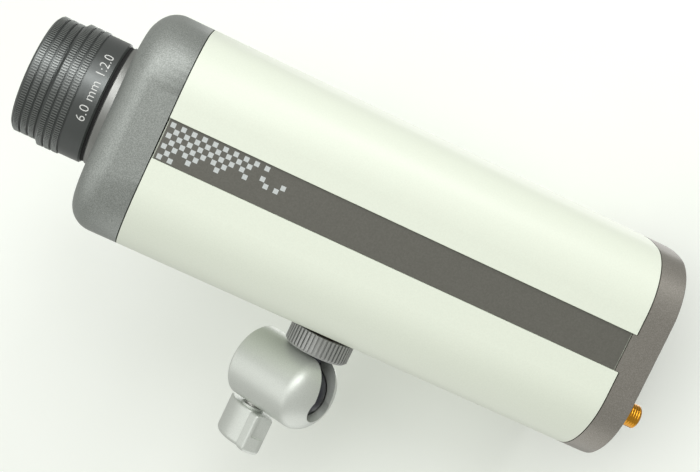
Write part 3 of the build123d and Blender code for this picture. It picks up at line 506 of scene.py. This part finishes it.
def dress_camera_body():
    # Powder-coated steel covers: a pale warm white with a low sheen, so the crowned sides shade off softly
    shell = speckled("powder_coat_white", "#e6ecdd", "#e8eedf", "#e4eadb", 0.35 * MM, rough=0.4, bump=0.03)
    dress(shell, "upper_cover", "lower_cover")
    # Moulded side strips: dull olive grey, nearly without highlights
    strip = speckled("moulded_grey_strip", "#605f58", "#64635c", "#5c5b54", 0.4 * MM, rough=0.5, bump=0.04)
    dress(strip, "side_strip_left", "side_strip_right")
    # Screen-printed squares: thin pale ink, flat and matt on the strip
    ink = speckled("pale_grey_screen_print", "#c4c9c8", "#cbd0cf", "#bcc1c0", 0.3 * MM, rough=0.55)
    print_strip("strip_print_left", "side_strip_left", -1, ink)
    print_strip("strip_print_right", "side_strip_right", 1, ink)
    # Metallic paint on the die-cast front: a broad highlight along the rounded edge, broken up by flakes,
    # which are really under 0.1 mm and drawn at 0.25 mm so that they show
    bezel = speckled("metallic_grey_paint", "#949894", "#a6aaa6", "#838783", 0.25 * MM, rough=0.47, metallic=0.6)
    dress(bezel, "front_bezel")
    soften("front_bezel", 0.3 * MM)
    # The same kind of paint in a warmer, browner grey on the rear frame
    warm = speckled("metallic_warm_paint", "#918d86", "#9e9a93", "#858179", 0.25 * MM, rough=0.42, metallic=0.65)
    dress(warm, "rear_bezel")
    # Painted steel panel: charcoal and matt, so the connectors stand out from it
    panel = speckled("black_painted_steel", "#4a4a48", "#515150", "#434341", 0.3 * MM, rough=0.55)
    dress(panel, "rear_panel")


def dress_lens():
    # Black anodised aluminium: dark metal whose turned rings and knurls catch small grey glints
    barrel = turned_metal("black_anodised_aluminium", "#626564", rough=0.3, metallic=0.8)
    dress(barrel, "lens_barrel", "focus_ring")
    # The knurls' tops get a paler copy of the same metal: a painted highlight that stands for the glints along the
    # ridges
    painted_knurl_glint = turned_metal("black_anodise_painted_glint", "#858886", rough=0.32, metallic=0.8)
    knurl_lens(painted_knurl_glint)
    # Enamel rubbed into the engraved figures: plain white, matt
    enamel = speckled("white_enamel_fill", "#dfe0dd", "#e6e7e4", "#d6d7d4", 0.3 * MM, rough=0.5)
    mark_lens(enamel)
    # Matt black anodising inside the lens: swallows light round the glass
    matt = speckled("matt_black_anodise", "#1c1d1d", "#222323", "#161717", 0.4 * MM, rough=0.6)
    dress(matt, "lens_cell", "retaining_ring", "mount_ring_nut")
    # Rubber gasket: a soft black line without a highlight
    rubber = speckled("black_rubber", "#141414", "#1a1a1a", "#0e0e0e", 0.4 * MM, rough=0.8)
    dress(rubber, "barrel_gasket")
    # Nickel-plated mount ring: turned silver that brightens towards the lamps
    nickel = turned_metal("turned_nickel_plate", "#a0a19e", rough=0.42)
    dress(nickel, "lens_mount_ring")
    # Coated glass: clear and smooth, with a faint violet tint in its reflections
    glass = new_material("coated_lens_glass")
    shader = add(
        glass,
        "ShaderNodeBsdfPrincipled",
        Base_Color=linear("#e3e9ec"),
        Roughness=0.02,
        Transmission_Weight=1.0,
        IOR=1.6,
        Coat_Weight=0.6,
        Coat_Tint=linear("#b5b3e0"),
    )
    dress(finish_material(glass, shader), "front_lens", "rear_lens")


def dress_swivel():
    # Silver paint over a zinc casting: pale metal with soft, broad highlights. Its flakes are really under
    # 0.1 mm, drawn at 0.2 mm so that they just show.
    cast = speckled("silver_spray_paint", "#d6dad4", "#dde1db", "#cfd3cd", 0.2 * MM, rough=0.42, metallic=0.6)
    dress(cast, "swivel_housing", "end_plug", "clamp_knob")
    # Bare cast zinc of the lock ring: a little darker and duller than the paint
    zinc = speckled("cast_zinc", "#adaeac", "#b4b5b3", "#a6a7a5", 0.3 * MM, rough=0.5, metallic=0.5)
    dress(zinc, "lock_ring")
    # Blackened steel ball: blue-black and satin, dark behind the slot
    black_steel = turned_metal("blackened_steel", "#43434a", rough=0.38, axis=2)
    dress(black_steel, "ball_stud", "ball_pad")
    # Bright turned steel of the clamp screw: small hard glints
    steel = turned_metal("turned_steel", "#b9b9b5", rough=0.3, axis=2)
    dress(steel, "clamp_screw")


def dress_insides():
    # Solder mask over copper: deep green, fairly glossy
    board = speckled("green_solder_mask", "#1f6b3a", "#257643", "#195c31", 0.8 * MM, rough=0.35)
    dress(board, "sensor_board", "main_board", "io_board")
    # Moulded epoxy of the chips: flat black, with hardly a highlight
    chip = speckled("epoxy_chip", "#232323", "#2b2b2b", "#1b1b1b", 0.3 * MM, rough=0.6)
    dress(chip, "processor", "image_sensor")
    # Moulded nylon of the jacks, headers and screw heads: black with a satin skin
    nylon = speckled("black_nylon", "#1d1d1e", "#252526", "#161617", 0.4 * MM, rough=0.5)
    dress(nylon, "board_link", "power_jack", "audio_jacks", "reset_switch", "panel_screws")
    # Tinned steel cans and the bare heat sink: bright, slightly brushed
    can = turned_metal("tinned_steel", "#c9cac8", rough=0.3, axis=1)
    dress(can, "lan_jack", "wireless_module", "heat_sink")
    # Zinc plate on the screws: cool, small bright points
    zinc_plate = turned_metal("zinc_plated_steel", "#c3c4c4", rough=0.3)
    dress(zinc_plate, "cover_screws", "bezel_screws", "board_screws", "sensor_screws")
    # Turned brass: yellow, with fine tool rings
    brass = turned_metal("turned_brass", "#c9a24c", rough=0.3, axis=2)
    dress(brass, "tripod_bush", "standoffs")
    # Gold plate on the antenna jack and contacts: rich orange-yellow with sharp highlights
    gold = turned_metal("gold_plate", "#d4962f", rough=0.2)
    dress(gold, "antenna_jack", "antenna_nut", "antenna_washer")
    thread_jack(gold)
    contact_wires(gold)
    # Moulded green nylon of the terminal block: bright and satin
    green = speckled("green_nylon", "#2a8f4e", "#2f9a55", "#258247", 0.4 * MM, rough=0.45)
    dress(green, "terminal_block")
    # Moulded ABS reset button: mid grey and matt
    button = speckled("grey_abs", "#8c8c8a", "#949492", "#848482", 0.4 * MM, rough=0.5)
    dress(button, "reset_button")
    # Acrylic light guides: pale green, smooth and shiny
    guide = speckled("clear_green_acrylic", "#8fd6a2", "#9adcab", "#84cd98", 0.8 * MM, rough=0.2)
    dress(guide, "status_lights")


place_camera()
place_stage()
light_studio()
dress_camera_body()
dress_lens()
dress_swivel()
dress_insides()

bpy.context.scene.view_settings.view_transform = "Standard"
